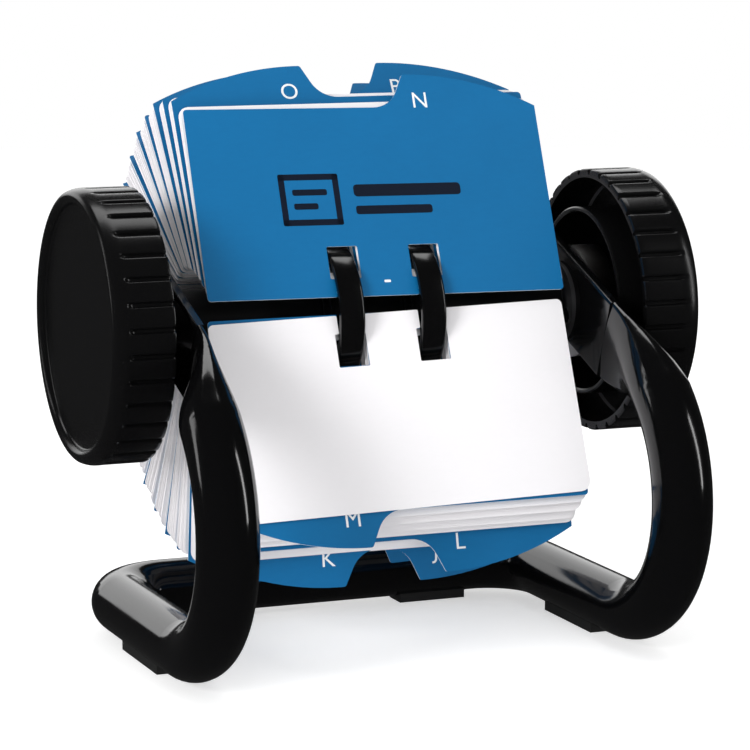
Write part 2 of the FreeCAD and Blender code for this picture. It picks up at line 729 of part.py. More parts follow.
def build_clutch():
    """A fixed cup on the right flattened end, and sprung balls in a hub on the spindle."""
    start = paddle_outer
    floor = start + size("cup_floor")
    end = start + size("cup_depth")
    inside = size("cup_radius")
    outside = inside + size("cup_wall")
    hole = size("bushing_radius") + CUP_HOLE_GAP
    cup = turned_part("clutch_cup", [
        (start, hole), (floor, hole), (floor, inside), (end, inside), (end, outside),
        (start, outside),
    ])
    drill_rivet_holes(cup)
    rivets = []
    head = RIVET_HEAD_HEIGHT
    for direction in (-1, 1):
        shank = rivet_shank(direction, bushing_start.value, floor.value)
        inner_head = rivet_shank(direction, bushing_start.value - head, bushing_start.value,
                                 mm("rivet_radius") * RIVET_HEAD_SHARE)
        outer_head = rivet_shank(direction, floor.value, floor.value + head,
                                 mm("rivet_radius") * RIVET_HEAD_SHARE)
        rivets.append(shank.fuse([inner_head, outer_head]))
    solid_node("clutch_rivets", Part.makeCompound(rivets))

    hub_start = floor.value + HUB_GAP
    hub_middle = hub_start + mm("hub_width") / 2
    ball_track = mm("cup_radius") - mm("ball_radius") - mm("running_gap")
    pocket_floor = mm("spindle_radius") + POCKET_FLOOR_ABOVE_SHAFT
    pocket_radius = mm("ball_radius") + POCKET_GAP
    coil_radius = pocket_radius - mm("spring_wire") / 2 - COIL_SIDE_GAP
    hub = Part.makeCylinder(mm("hub_radius"), mm("hub_width"), Vector(hub_start, 0, 0),
                            Vector(1, 0, 0))
    bore = Part.makeCylinder(mm("spindle_radius"), mm("hub_width"), Vector(hub_start, 0, 0),
                             Vector(1, 0, 0))
    hub = hub.cut(bore)
    balls = []
    springs = []
    count = int(mm("ball_count"))
    for index in range(count):
        turn = Rotation(Vector(1, 0, 0), 45 + index * 360 / count)
        place = Placement(Vector(hub_middle, 0, 0), turn)
        cutter = Part.makeCylinder(pocket_radius, mm("cup_radius"), Vector(0, 0, pocket_floor))
        cutter.Placement = place
        hub = hub.cut(cutter)
        ball = Part.makeSphere(mm("ball_radius"))
        ball.translate(Vector(0, 0, ball_track))
        ball.Placement = place.multiply(ball.Placement)
        balls.append(ball)
        springs.append(coil(pocket_floor, ball_track - mm("ball_radius"), coil_radius, place))
    for name, pieces in (("clutch_hub", [hub]), ("clutch_balls", balls),
                         ("clutch_springs", springs)):
        shape = Part.makeCompound(pieces) if len(pieces) > 1 else pieces[0]
        item = solid_node(name, shape)
        item.setExpression("Placement.Base.z", "dims.axle_height")


def coil(bottom, top, radius, place):
    """A coil spring along Z between two levels: a round wire swept along a smooth curve."""
    wire = mm("spring_wire")
    start = bottom + wire / 2 + COIL_END_GAP
    height = top - bottom - wire - 2 * COIL_END_GAP
    steps = COIL_TURNS * COIL_POINTS_PER_TURN
    points = []
    for step in range(steps + 1):
        angle = 2 * math.pi * step / COIL_POINTS_PER_TURN
        level = start + height * step / steps
        points.append(Vector(radius * math.cos(angle), radius * math.sin(angle), level))
    curve = Part.BSplineCurve()
    curve.interpolate(points)
    way = curve.tangent(curve.FirstParameter)[0]
    profile = Part.Wire(Part.makeCircle(wire / 2, points[0], way))
    shape = Part.Wire([curve.toShape()]).makePipeShell([profile], True, True)
    shape.Placement = place
    return shape


# --- cards and guides -----------------------------------------------------------------------


def sheet_line(share):
    """Slotted edge and direction of the sheet at this share of the fan, in the YZ plane.

    The sheets lie closer at both ends of the fan than in the middle. Their places on the rings
    spread there instead, so that the sheets tilt from the radius and lie over each other.
    """
    way = 2 * share - 1
    bunch = mm("fan_bunch")
    lean = (mm("lean_start") + mm("lean_end")) / 2
    lean += (mm("lean_end") - mm("lean_start")) / 2 * (bunch * way - (bunch - 1) * way ** 3)
    tilt_start = mm("lean_start") - mm("fan_start")
    tilt_end = mm("lean_end") - mm("fan_end")
    even = mm("fan_tilt")
    tilt = (tilt_start + tilt_end) / 2 - even * way
    tilt -= ((tilt_start - tilt_end) / 2 - even) * way ** 5
    clip = mm("clip_depth") + (mm("clip_depth_end") - mm("clip_depth")) * way ** 6
    direction = Vector(0, -math.cos(math.radians(lean)), math.sin(math.radians(lean)))
    track = mm("ring_radius") - mm("ring_head") / 2
    place = math.radians(lean - tilt)
    head = Vector(0, -track * math.cos(place), track * math.sin(place) + mm("axle_height"))
    return head - direction * clip, direction, lean


def guide_share(number):
    """Share of the fan at which a guide lies; little more than a card lies before the last."""
    count = len(GUIDE_LETTERS)
    if number == count - 1:
        return (count - mm("last_pack")) / count
    return number / count


def build_guide(number, letter):
    """One index guide: a board with two T slots and a tab on one half of its free edge."""
    name = f"guide_{letter}"
    side = 1 if number % 2 == 0 else -1
    body = new_body(name)
    half = size("card_width") / 2
    mouth = size("slot_mouth") / 2
    slot = size("slot_width") / 2
    shoulder = size("slot_shoulder")
    depth = size("slot_depth")
    level = size("guide_body")
    top = level + size("tab_height")
    corners = [(-half, 0)]
    for centre in (-size("slot_spacing") / 2, size("slot_spacing") / 2):
        corners += [
            (centre - mouth, 0), (centre - mouth, shoulder), (centre - slot, shoulder),
            (centre - slot, depth), (centre + slot, depth), (centre + slot, shoulder),
            (centre + mouth, shoulder), (centre + mouth, 0),
        ]
    fillet = size("tab_fillet")
    inner = size("tab_start")
    slant = size("tab_slant")
    foot_height = fillet * (as_size(1) - sine(slant))
    foot = inner - (size("tab_height") - foot_height) * sine(slant) / cosine(slant)
    corners += [(half, 0), (half, level), (inner, top)]
    corners += [(foot, level + foot_height), (foot - fillet * cosine(slant), level)]
    corners += [(-half, level)]
    count = len(corners)
    arcs = {count - 5: (size("tab_radius"), side > 0), count - 3: (fillet, side < 0)}
    corners = [(as_size(x) * side, y) for x, y in corners]
    sketch = add_outline(body, f"{name}_outline", "XZ_Plane", corners, arcs)
    pad = body.newObject("PartDesign::Pad", f"{name}_board")
    pad.Profile = sketch
    pad.Midplane = True
    pad.setExpression("Length", "dims.guide_thick")
    edge, direction, lean = sheet_line(guide_share(number))
    turn = Rotation(Vector(1, 0, 0), 90 - lean)
    if number == 0:
        turn = turn.multiply(Rotation(Vector(0, 1, 0), mm("front_skew")))
    body.Placement = Placement(edge, turn)
    keep(body, name)


def card_pack(number):
    """The cards between two guides, as one wedge with the slots cut through it."""
    near_edge, near_way, near_lean = sheet_line(guide_share(number))
    far_edge, far_way, far_lean = sheet_line(guide_share(number + 1))
    room = mm("guide_thick") / 2 + mm("sheet_gap")
    near_normal = Vector(0, near_way.z, -near_way.y)
    far_normal = Vector(0, far_way.z, -far_way.y)
    height = mm("card_height")
    half = mm("card_width") / 2
    near = near_edge + near_normal * room
    far = far_edge - far_normal * room
    points = [near, near + near_way * height, far + far_way * height, far, near]
    profile = Part.Face(Part.makePolygon([point - Vector(half, 0, 0) for point in points]))
    wedge = profile.extrude(Vector(2 * half, 0, 0))
    middle = (near + far) / 2
    lean = (near_lean + far_lean) / 2
    reach = SLOT_CUTTER_REACH
    cutters = []
    for centre in (-mm("slot_spacing") / 2, mm("slot_spacing") / 2):
        for width, low, high in (
                (mm("slot_mouth"), -SLOT_CUTTER_BELOW, mm("slot_shoulder")),
                (mm("slot_width"), mm("slot_shoulder"), mm("slot_depth"))):
            box = Part.makeBox(width, reach, high - low, Vector(centre - width / 2, -reach / 2, low))
            box.Placement = Placement(middle, Rotation(Vector(1, 0, 0), 90 - lean))
            cutters.append(box)
        cutters.append(head_path(centre))
    return wedge.cut(cutters)


def head_path(centre):
    """The room that a ring's head needs, as a hoop as wide as a slot."""
    width = mm("slot_width")
    start = Vector(centre - width / 2, 0, mm("axle_height"))
    along = Vector(1, 0, 0)
    outside = Part.makeCylinder(mm("ring_radius") + HEAD_ROOM, width, start, along)
    inside = Part.makeCylinder(mm("ring_radius") - mm("ring_head") - HEAD_ROOM, width, start, along)
    return outside.cut(inside)


def build_cards():
    for number, letter in enumerate(GUIDE_LETTERS):
        build_guide(number, letter)
    packs = [card_pack(number) for number in range(len(GUIDE_LETTERS))]
    for first in range(0, len(packs), PACKS_PER_NODE):
        group = Part.makeCompound(packs[first:first + PACKS_PER_NODE])
        solid_node(f"card_packs_{first // PACKS_PER_NODE + 1}", group)


# --- build, check and write -------------------------------------------------------------------


def check_and_write():
    doc.recompute()
    for item in doc.Objects:
        if "Invalid" in item.State or "Error" in item.State:
            raise RuntimeError(f"{item.Name} failed: {item.State}")
    for name, item in node_objects:
        shape = item.Shape
        if shape.isNull() or not shape.isValid() or not shape.Solids:
            raise RuntimeError(f"{name} has no valid solid")
    os.makedirs("parts", exist_ok=True)
    for name, item in node_objects:
        item.Shape.exportStep(f"parts/{name}.step")
    print(len(node_objects), "sub-parts written")


build_stand()
build_feet()
build_spindle()
build_core()
build_rings()
build_knob("left_knob", -1)
build_knob("right_knob", 1)
sleeve("left_spacer", -paddle_outer - AXIAL_PLAY, -knob_boss_start, size("spindle_radius"),
       size("bushing_radius"))
build_clutch()
build_cards()
check_and_write()
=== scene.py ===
import math
import random

import bmesh
import bpy
from bpy.props import FloatProperty, FloatVectorProperty, IntProperty, PointerProperty
from mathutils import Matrix, Vector


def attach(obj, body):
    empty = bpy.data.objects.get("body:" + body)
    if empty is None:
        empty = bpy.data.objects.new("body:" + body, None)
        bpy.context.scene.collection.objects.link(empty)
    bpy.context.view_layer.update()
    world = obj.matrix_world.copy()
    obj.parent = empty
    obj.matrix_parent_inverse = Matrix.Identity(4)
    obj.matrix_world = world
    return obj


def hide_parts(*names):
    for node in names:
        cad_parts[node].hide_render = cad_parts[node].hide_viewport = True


bl_info = {
    "name": "Rotary card file",
    "version": (1, 0, 0),
    "blender": (4, 5, 0),
    "location": "View3D > Sidebar > Card File",
    "description": "Builds the finished look of a rotary card file round its CAD frame",
    "category": "Object",
}

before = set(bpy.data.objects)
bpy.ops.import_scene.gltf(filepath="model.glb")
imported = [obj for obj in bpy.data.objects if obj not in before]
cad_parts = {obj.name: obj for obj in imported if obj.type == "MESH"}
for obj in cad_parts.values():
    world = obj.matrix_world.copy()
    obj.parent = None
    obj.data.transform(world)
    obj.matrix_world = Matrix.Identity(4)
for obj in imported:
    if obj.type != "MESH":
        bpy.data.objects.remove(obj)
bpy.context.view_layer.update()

MM = 0.001
AXLE = Vector((0, 0, 90 * MM))
GUIDES = "n o p q r s t u v w xyz a b c d e f g h i j k l m".split()
PACKS_PER_NODE = 3
LAST_PACK = 0.15  # room of the last pack, as a share of the room of the others

# Fixed sizes in millimetres. A knob's are measured along the axle from the object's middle.
RING_SPACING = 23.3
RING_TRACK = 19.05
KNOB_RIM = 36.35
KNOB_OUTER = 82.55
KNOB_INNER = 66.0
KNOB_CREST = 34.0
KNOB_ROLL = 1.9
KNOB_SHOULDER = 4.2
KNOB_SHAFT_END = 79.15
KNOB_RIB_START = 62.9
KNOB_CROWN = 0.16
SLOT_FILLET = 0.4
PRINT_GAP = 0.03
LETTER_LEVEL = 54.7
LETTER_FRONT = 17
LETTER_BACK = 17.5

# Lean of the fan's middle sheet and half of the fan's spread, in degrees.
FAN_MIDDLE = 202.4
FAN_HALF = 88

# Height of a capital letter, as a share of the font's size.
CAPITAL_SHARE = 0.69

# How loosely the cards lie: shares of their pitch, degrees and millimetres.
CARD_SHIFT = 0.16
CARD_SKEW = 0.25
CARD_RISE = 0.35
CARD_SLIDE = 0.4
FRONT_CARD_SKEW = 1.2
FRONT_CARD_RISE = 0.5
FRONT_GUIDE_SKEW = 0.9


# --- sizes and colours that a user may change -------------------------------------------------


def length(name, description, value):
    """A length with its default in millimetres, kept in metres."""
    return FloatProperty(name=name, description=description, default=value * MM,
                         min=0, subtype="DISTANCE", unit="LENGTH", precision=5)


def colour(name, description, value):
    return FloatVectorProperty(name=name, description=description, default=value,
                               size=3, min=0, max=1, subtype="COLOR")


class CardFileSizes(bpy.types.PropertyGroup):
    """Sizes of the pieces that are built here."""

    card_width: length("Card width", "Width of a card and of a guide", 101.6)
    card_height: length("Card height", "Height of a card", 53)
    card_thickness: length("Card thickness", "Thickness of one card", 0.19)
    card_corner: length("Card corner", "Radius of a card's corners", 3)
    cards_per_pack: IntProperty(name="Cards per pack", default=9, min=1, max=12,
                                description="Cards between two guides")
    guide_height: length("Guide height", "Height of a guide without its tab", 53)
    guide_thickness: length("Guide thickness", "Thickness of a guide's board", 0.3)
    guide_corner: length("Guide corner", "Radius of a guide's corners", 1)
    tab_height: length("Tab height", "How far a tab stands above its guide", 9.4)
    tab_start: length("Tab start", "Where a tab begins, from the middle of its guide", 12.8)
    letter_height: length("Letter height", "Height of the letter on a tab", 4.4)
    slot_spacing: length("Slot spacing", "Distance between the two slots", 23.3)
    slot_mouth: length("Slot mouth", "Width of a slot at its mouth", 6.3)
    slot_width: length("Slot width", "Width of a slot above its shoulders", 8.7)
    slot_shoulder: length("Slot shoulder", "Height of a slot's shoulders", 5)
    slot_depth: length("Slot depth", "Depth of a slot", 14)
    groove_count: IntProperty(name="Grip grooves", default=34, min=6, max=90,
                              description="Grooves round a knob")
    groove_width: length("Groove width", "Width of a grip groove", 1.3)
    groove_depth: length("Groove depth", "Depth of a grip groove", 0.9)


class CardFileColours(bpy.types.PropertyGroup):
    """Base colours of the finishes."""

    enamel: colour("Enamel", "Black enamel of the bent tube", (0.0018, 0.0018, 0.002))
    knob: colour("Knob", "Moulded plastic of the knobs", (0.003, 0.003, 0.0032))
    ring: colour("Ring", "Plastic of the rings and the core", (0.002, 0.002, 0.0022))
    bearing: colour("Bearing", "Nylon of the bushings, spacer and clutch", (0.03, 0.03, 0.032))
    steel: colour("Steel", "Bright turned steel", (0.62, 0.61, 0.6))
    rubber: colour("Rubber", "Foot pads", (0.012, 0.012, 0.012))
    board: colour("Guide board", "Printed face of the guides", (0.004, 0.138, 0.34))
    board_edge: colour("Guide edge", "Cut edge of the guides", (0.72, 0.77, 0.8))
    card: colour("Card", "Card stock", (0.9, 0.885, 0.905))
    light_print: colour("Light print", "Letters on the tabs", (0.85, 0.87, 0.88))
    dark_print: colour("Dark print", "Sign on the front guide", (0.003, 0.008, 0.022))
    floor: colour("Floor", "Floor under the object", (0.93, 0.93, 0.93))


def sizes():
    return bpy.context.scene.card_file_sizes


def colours():
    return bpy.context.scene.card_file_colours


# --- shader node groups -----------------------------------------------------------------------


def new_group(name, inputs, outputs):
    """A node group with named inputs (name, type, default) and outputs (name, type)."""
    group = bpy.data.node_groups.new(name, "ShaderNodeTree")
    for label, kind, value in inputs:
        socket = group.interface.new_socket(name=label, in_out="INPUT", socket_type=kind)
        socket.default_value = value
    for label, kind in outputs:
        group.interface.new_socket(name=label, in_out="OUTPUT", socket_type=kind)
    entry = group.nodes.new("NodeGroupInput")
    leave = group.nodes.new("NodeGroupOutput")
    return group, entry, leave


def add_math(tree, operation, first, second):
    """A Math node; each operand is a socket or a number."""
    node = tree.nodes.new("ShaderNodeMath")
    node.operation = operation
    for index, operand in enumerate((first, second)):
        if isinstance(operand, (int, float)):
            node.inputs[index].default_value = operand
        else:
            tree.links.new(operand, node.inputs[index])
    return node.outputs[0]


def add_noise(tree, vector, scale, detail, roughness=0.55):
    """A Noise Texture node; its scale is a socket or a number."""
    node = tree.nodes.new("ShaderNodeTexNoise")
    node.inputs["Detail"].default_value = detail
    node.inputs["Roughness"].default_value = roughness
    if isinstance(scale, (int, float)):
        node.inputs["Scale"].default_value = scale
    else:
        tree.links.new(scale, node.inputs["Scale"])
    tree.links.new(vector, node.inputs["Vector"])
    return node.outputs["Fac"]


def remap(tree, value, low, high, new_low, new_high):
    """A Map Range node from low..high to new_low..new_high."""
    node = tree.nodes.new("ShaderNodeMapRange")
    for label, number in (("From Min", low), ("From Max", high),
                          ("To Min", new_low), ("To Max", new_high)):
        node.inputs[label].default_value = number
    tree.links.new(value, node.inputs["Value"])
    return node.outputs["Result"]


def handled_surface():
    """Group: cloudy roughness, fine dust specks and a low moulded or sprayed relief."""
    group, entry, leave = new_group("handled_surface", [
        ("Vector", "NodeSocketVector", (0, 0, 0)),
        ("Gloss", "NodeSocketFloat", 0.2),
        ("Smudge", "NodeSocketFloat", 0.08),
        ("Grain Scale", "NodeSocketFloat", 900.0),
        ("Dust", "NodeSocketFloat", 0.02),
    ], [("Roughness", "NodeSocketFloat"), ("Height", "NodeSocketFloat"),
        ("Dust Mask", "NodeSocketFloat")])
    vector = entry.outputs["Vector"]
    cloud = add_noise(group, vector, 38.0, 4.0)
    cloud = remap(group, cloud, 0.35, 0.7, 0.0, 1.0)
    spread = add_math(group, "MULTIPLY", cloud, entry.outputs["Smudge"])
    rough = add_math(group, "ADD", entry.outputs["Gloss"], spread)
    grain = add_noise(group, vector, entry.outputs["Grain Scale"], 2.0)
    specks = add_noise(group, vector, 2600.0, 1.0)
    specks = remap(group, specks, 0.72, 0.78, 0.0, 1.0)
    specks = add_math(group, "MULTIPLY", specks, entry.outputs["Dust"])
    group.links.new(rough, leave.inputs["Roughness"])
    group.links.new(grain, leave.inputs["Height"])
    group.links.new(specks, leave.inputs["Dust Mask"])
    return group


def paper_fibre():
    """Group: felted fibres as relief and as a faint mottle in the colour."""
    group, entry, leave = new_group("paper_fibre", [
        ("Vector", "NodeSocketVector", (0, 0, 0)),
        ("Fibre Scale", "NodeSocketFloat", 1400.0),
        ("Mottle", "NodeSocketFloat", 0.04),
        ("Colour", "NodeSocketColor", (1, 1, 1, 1)),
    ], [("Colour", "NodeSocketColor"), ("Height", "NodeSocketFloat")])
    vector = entry.outputs["Vector"]
    stretch = group.nodes.new("ShaderNodeMapping")
    stretch.inputs["Scale"].default_value = (0.35, 1, 1)
    group.links.new(vector, stretch.inputs["Vector"])
    fibre = add_noise(group, stretch.outputs[0], entry.outputs["Fibre Scale"], 3.0, 0.65)
    cloud = add_noise(group, vector, 60.0, 4.0)
    both = add_math(group, "ADD", fibre, cloud)
    offset = add_math(group, "SUBTRACT", both, 1.0)
    shade = add_math(group, "MULTIPLY", offset, entry.outputs["Mottle"])
    shade = add_math(group, "ADD", shade, 1.0)
    tint = group.nodes.new("ShaderNodeVectorMath")
    tint.operation = "SCALE"
    group.links.new(entry.outputs["Colour"], tint.inputs[0])
    group.links.new(shade, tint.inputs["Scale"])
    group.links.new(tint.outputs[0], leave.inputs["Colour"])
    group.links.new(fibre, leave.inputs["Height"])
    return group


def effect(maker):
    """The group of this name, built the first time that it is asked for."""
    return bpy.data.node_groups.get(maker.__name__) or maker()


# --- materials --------------------------------------------------------------------------------


def new_material(name):
    material = bpy.data.materials.new(name)
    material.use_nodes = True
    tree = material.node_tree
    shader = tree.nodes["Principled BSDF"]
    place = tree.nodes.new("ShaderNodeTexCoord").outputs["Object"]
    return material, tree, shader, place


def add_bump(tree, shader, height, strength, distance):
    bump = tree.nodes.new("ShaderNodeBump")
    bump.inputs["Strength"].default_value = strength
    bump.inputs["Distance"].default_value = distance
    tree.links.new(height, bump.inputs["Height"])
    tree.links.new(bump.outputs["Normal"], shader.inputs["Normal"])


DUST_COLOUR = (0.32, 0.31, 0.3, 1)
FIBRE_RELIEF = 0.00002


def moulded(name, base, gloss, smudge, grain_scale, relief, dust,
            metallic=0.0, relief_depth=0.00004, specular=0.5):
    """A plastic, enamel or metal finish with clouded gloss, low relief and specks of dust."""
    material, tree, shader, place = new_material(name)
    surface = tree.nodes.new("ShaderNodeGroup")
    surface.node_tree = effect(handled_surface)
    surface.inputs["Gloss"].default_value = gloss
    surface.inputs["Smudge"].default_value = smudge
    surface.inputs["Grain Scale"].default_value = grain_scale
    surface.inputs["Dust"].default_value = dust
    tree.links.new(place, surface.inputs["Vector"])
    mix = tree.nodes.new("ShaderNodeMix")
    mix.data_type = "RGBA"
    mix.inputs["A"].default_value = (*base, 1)
    mix.inputs["B"].default_value = DUST_COLOUR
    tree.links.new(surface.outputs["Dust Mask"], mix.inputs["Factor"])
    tree.links.new(mix.outputs["Result"], shader.inputs["Base Color"])
    tree.links.new(surface.outputs["Roughness"], shader.inputs["Roughness"])
    shader.inputs["Metallic"].default_value = metallic
    shader.inputs["Specular IOR Level"].default_value = specular
    add_bump(tree, shader, surface.outputs["Height"], relief, relief_depth)
    return material


def paper(name, base, rough, mottle, relief, fibre_scale=1400.0, specular=0.3):
    """Card stock or printed board."""
    material, tree, shader, place = new_material(name)
    fibre = tree.nodes.new("ShaderNodeGroup")
    fibre.node_tree = effect(paper_fibre)
    fibre.inputs["Colour"].default_value = (*base, 1)
    fibre.inputs["Mottle"].default_value = mottle
    fibre.inputs["Fibre Scale"].default_value = fibre_scale
    tree.links.new(place, fibre.inputs["Vector"])
    tree.links.new(fibre.outputs["Colour"], shader.inputs["Base Color"])
    shader.inputs["Roughness"].default_value = rough
    shader.inputs["Specular IOR Level"].default_value = specular
    add_bump(tree, shader, fibre.outputs["Height"], relief, FIBRE_RELIEF)
    return material


def finish_of(name):
    """The finish of this name, made the first time that a piece needs it."""
    found = bpy.data.materials.get(name)
    if found:
        return found
    tint = colours()
    makers = {
        "black_enamel_finish": lambda: moulded(name, tint.enamel, 0.1, 0.05, 260.0, 0.05, 0.01,
                                               relief_depth=0.00008),
        "knob_finish": lambda: moulded(name, tint.knob, 0.2, 0.06, 1500.0, 0.05, 0.02,
                                       relief_depth=0.00003, specular=0.3),
        "ring_finish": lambda: moulded(name, tint.ring, 0.13, 0.06, 700.0, 0.04, 0.02),
        "core_finish": lambda: moulded(name, tint.ring, 0.3, 0.1, 1200.0, 0.1, 0.03),
        "bearing_finish": lambda: moulded(name, tint.bearing, 0.34, 0.08, 1200.0, 0.1, 0.02),
        "steel_finish": lambda: moulded(name, tint.steel, 0.22, 0.12, 3000.0, 0.12, 0.0,
                                        metallic=1.0, relief_depth=0.00001),
        "rubber_finish": lambda: moulded(name, tint.rubber, 0.72, 0.1, 2200.0, 0.3, 0.04,
                                         relief_depth=0.00005),
        "guide_face": lambda: paper(name, tint.board, 0.5, 0.1, 0.12, 900.0, 0.16),
        "guide_edge": lambda: paper(name, tint.board_edge, 0.8, 0.1, 0.3),
        "card_face": lambda: paper(name, tint.card, 0.72, 0.025, 0.18),
        "light_print": lambda: paper(name, tint.light_print, 0.5, 0.06, 0.1),
        "dark_print": lambda: paper(name, tint.dark_print, 0.4, 0.12, 0.1),
    }
    return makers[name]()


# --- mesh building ----------------------------------------------------------------------------


def sweep(centre, first, last, steps):
    """Points round a centre, from the end of the first arm to the end of the last."""
    turn = math.atan2(first.x * last.y - first.y * last.x, first.dot(last))
    result = []
    for step in range(steps + 1):
        angle = turn * step / steps
        cosine, sine = math.cos(angle), math.sin(angle)
        result.append(centre + Vector((first.x * cosine - first.y * sine,
                                       first.x * sine + first.y * cosine)))
    return result


def rounded(points, radii, steps=5):
    """The closed outline with each corner rounded by its own radius."""
    result = []
    count = len(points)
    for index, point in enumerate(points):
        radius = radii[index]
        here = Vector(point)
        if radius <= 0:
            result.append(here)
            continue
        before = (Vector(points[index - 1]) - here).normalized()
        after = (Vector(points[(index + 1) % count]) - here).normalized()
        half = before.angle(after) / 2
        reach = radius / math.tan(half)
        centre = here + (before + after).normalized() * (radius / math.sin(half))
        result += sweep(centre, here + before * reach - centre, here + after * reach - centre,
                        steps)
    return result


def arc(start, end, radius, above, steps=16):
    """Points on an arc between two points; its centre lies above the chord or below it."""
    start, end = Vector(start), Vector(end)
    chord = end - start
    middle = (start + end) / 2
    rise = math.sqrt(radius ** 2 - (chord.length / 2) ** 2)
    normal = Vector((-chord.y, chord.x)).normalized()
    if (normal.y > 0) != above:
        normal = -normal
    centre = middle + normal * rise
    return sweep(centre, start - centre, end - centre, steps)


def add_slab(mesh, outline, thickness, matrix, face_finish, edge_finish):
    """Adds a flat sheet with this outline; its plane is XZ and its thickness is along Y."""
    back, front = [], []
    for point in outline:
        back.append(mesh.verts.new(matrix @ Vector((point.x, thickness / 2, point.y))))
        front.append(mesh.verts.new(matrix @ Vector((point.x, -thickness / 2, point.y))))
    added = [mesh.faces.new(front), mesh.faces.new(list(reversed(back)))]
    for face in added:
        face.material_index = face_finish
    count = len(outline)
    for index in range(count):
        follow = (index + 1) % count
        side = mesh.faces.new((front[index], back[index], back[follow], front[follow]))
        side.material_index = edge_finish
        added.append(side)
    bmesh.ops.recalc_face_normals(mesh, faces=added)


def round_axle(x, radius, angle):
    """The point at this radius and angle round the axle, in metres."""
    return x, radius * math.sin(angle), AXLE.z + radius * math.cos(angle)


def turned_mesh(profile, segments):
    """A closed section of (x, radius) points, in metres, turned about the axle."""
    mesh = bmesh.new()
    rings = []
    for x, radius in profile:
        rings.append([mesh.verts.new(round_axle(x, radius, 2 * math.pi * step / segments))
                      for step in range(segments)])
    for first, second in zip(rings, rings[1:] + rings[:1]):
        skin(mesh, first, second)
    bmesh.ops.recalc_face_normals(mesh, faces=mesh.faces[:])
    return mesh


def skin(mesh, first, second):
    """Faces between two rings of vertices; a ring of one vertex is a centre."""
    if len(first) == 1 and len(second) == 1:
        return
    count = max(len(first), len(second))
    for step in range(count):
        follow = (step + 1) % count
        if len(first) == 1:
            mesh.faces.new((first[0], second[step], second[follow]))
        elif len(second) == 1:
            mesh.faces.new((first[step], second[0], first[follow]))
        else:
            mesh.faces.new((first[step], second[step], second[follow], first[follow]))


def add_piece(name, mesh, body, nodes, finishes, smooth_angle=None):
    """Turns the mesh into a named piece that rides on a body and stands for CAD nodes."""
    data = bpy.data.meshes.new(name)
    mesh.to_mesh(data)
    mesh.free()
    piece = bpy.data.objects.new(name, data)
    bpy.context.scene.collection.objects.link(piece)
    for finish in finishes:
        data.materials.append(finish_of(finish))
    if smooth_angle is not None:
        data.shade_smooth()
        data.set_sharp_from_angle(angle=math.radians(smooth_angle))
    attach(piece, body)
    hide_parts(*nodes)


def paint_nodes(names, finish):
    """Gives carried-over CAD nodes a finish."""
    for name in names:
        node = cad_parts[name]
        node.data.materials.clear()
        node.data.materials.append(finish_of(finish))
        node.data.polygons.foreach_set("material_index", [0] * len(node.data.polygons))


# --- cards and guides -------------------------------------------------------------------------


def sheet_line(share):
    """Middle of the slotted edge, direction and lean of the sheet at this share of the fan.

    Way runs from -1 at the first guide to 1 at the end of the fan. Lean is the sheet's
    direction, and tilt is how far it leans past the spoke on which the ring holds it. Clip is
    how far its edge lies inside the ring's track.
    """
    way = 2 * share - 1
    lean = math.radians(FAN_MIDDLE + FAN_HALF * (1.3 * way - 0.3 * way ** 3))
    tilt = math.radians(6.3 - 30.7 * way - 28.7 * way ** 5)
    clip = (6.5 + 2.2 * way ** 6) * MM
    direction = Vector((0, -math.cos(lean), math.sin(lean)))
    track = RING_TRACK * MM
    place = lean - tilt
    head = AXLE + Vector((0, -track * math.cos(place), track * math.sin(place)))
    return head - direction * clip, direction, lean


def sheet_matrix(share, slide=0.0, rise=0.0, skew=0.0):
    """Places a sheet drawn in XZ, with its slotted edge at Z 0, at this share of the fan."""
    edge, direction, lean = sheet_line(share)
    turn = Matrix.Rotation(math.pi / 2 - lean, 4, "X") @ Matrix.Rotation(skew, 4, "Y")
    place = edge + direction * rise + Vector((slide, 0, 0))
    return Matrix.Translation(place) @ turn


def slot_corners():
    """Corners of the slotted edge between the two outer corners."""
    size = sizes()
    mouth, wide = size.slot_mouth / 2, size.slot_width / 2
    shoulder, depth = size.slot_shoulder, size.slot_depth
    corners = []
    for centre in (-size.slot_spacing / 2, size.slot_spacing / 2):
        corners += [
            (centre - mouth, 0), (centre - mouth, shoulder), (centre - wide, shoulder),
            (centre - wide, depth), (centre + wide, depth), (centre + wide, shoulder),
            (centre + mouth, shoulder), (centre + mouth, 0),
        ]
    return corners


def guide_share(number):
    """Share of the fan at which a guide lies; only one card lies before the last guide."""
    count = len(GUIDES)
    if number == count - 1:
        return (count - LAST_PACK) / count
    return number / count


def bunch(pack, packs, most):
    """How many cards a pack holds, and the shares of its room between which they lie."""
    if pack == packs - 1:
        return 1, 0.9, 0.9
    way = 2 * (pack + 0.5) / packs - 1
    loose = 1 - way * way
    if way < 0:
        count = round(2 + (most - 2) * loose ** 1.6)
        low = 0.1 + 0.2 * way ** 8
        return count, low, low + 0.16 + 0.66 * loose
    count = round(3 + (most - 3) * loose)
    return count, 0.14, 0.8


def card_outline():
    size = sizes()
    half = size.card_width / 2
    slots = slot_corners()
    points = [(-half, 0)] + slots + [(half, 0), (half, size.card_height),
                                     (-half, size.card_height)]
    outer = size.card_corner
    radii = [outer * 0.5] + [SLOT_FILLET * MM] * len(slots) + [outer * 0.5, outer, outer]
    return rounded(points, radii)


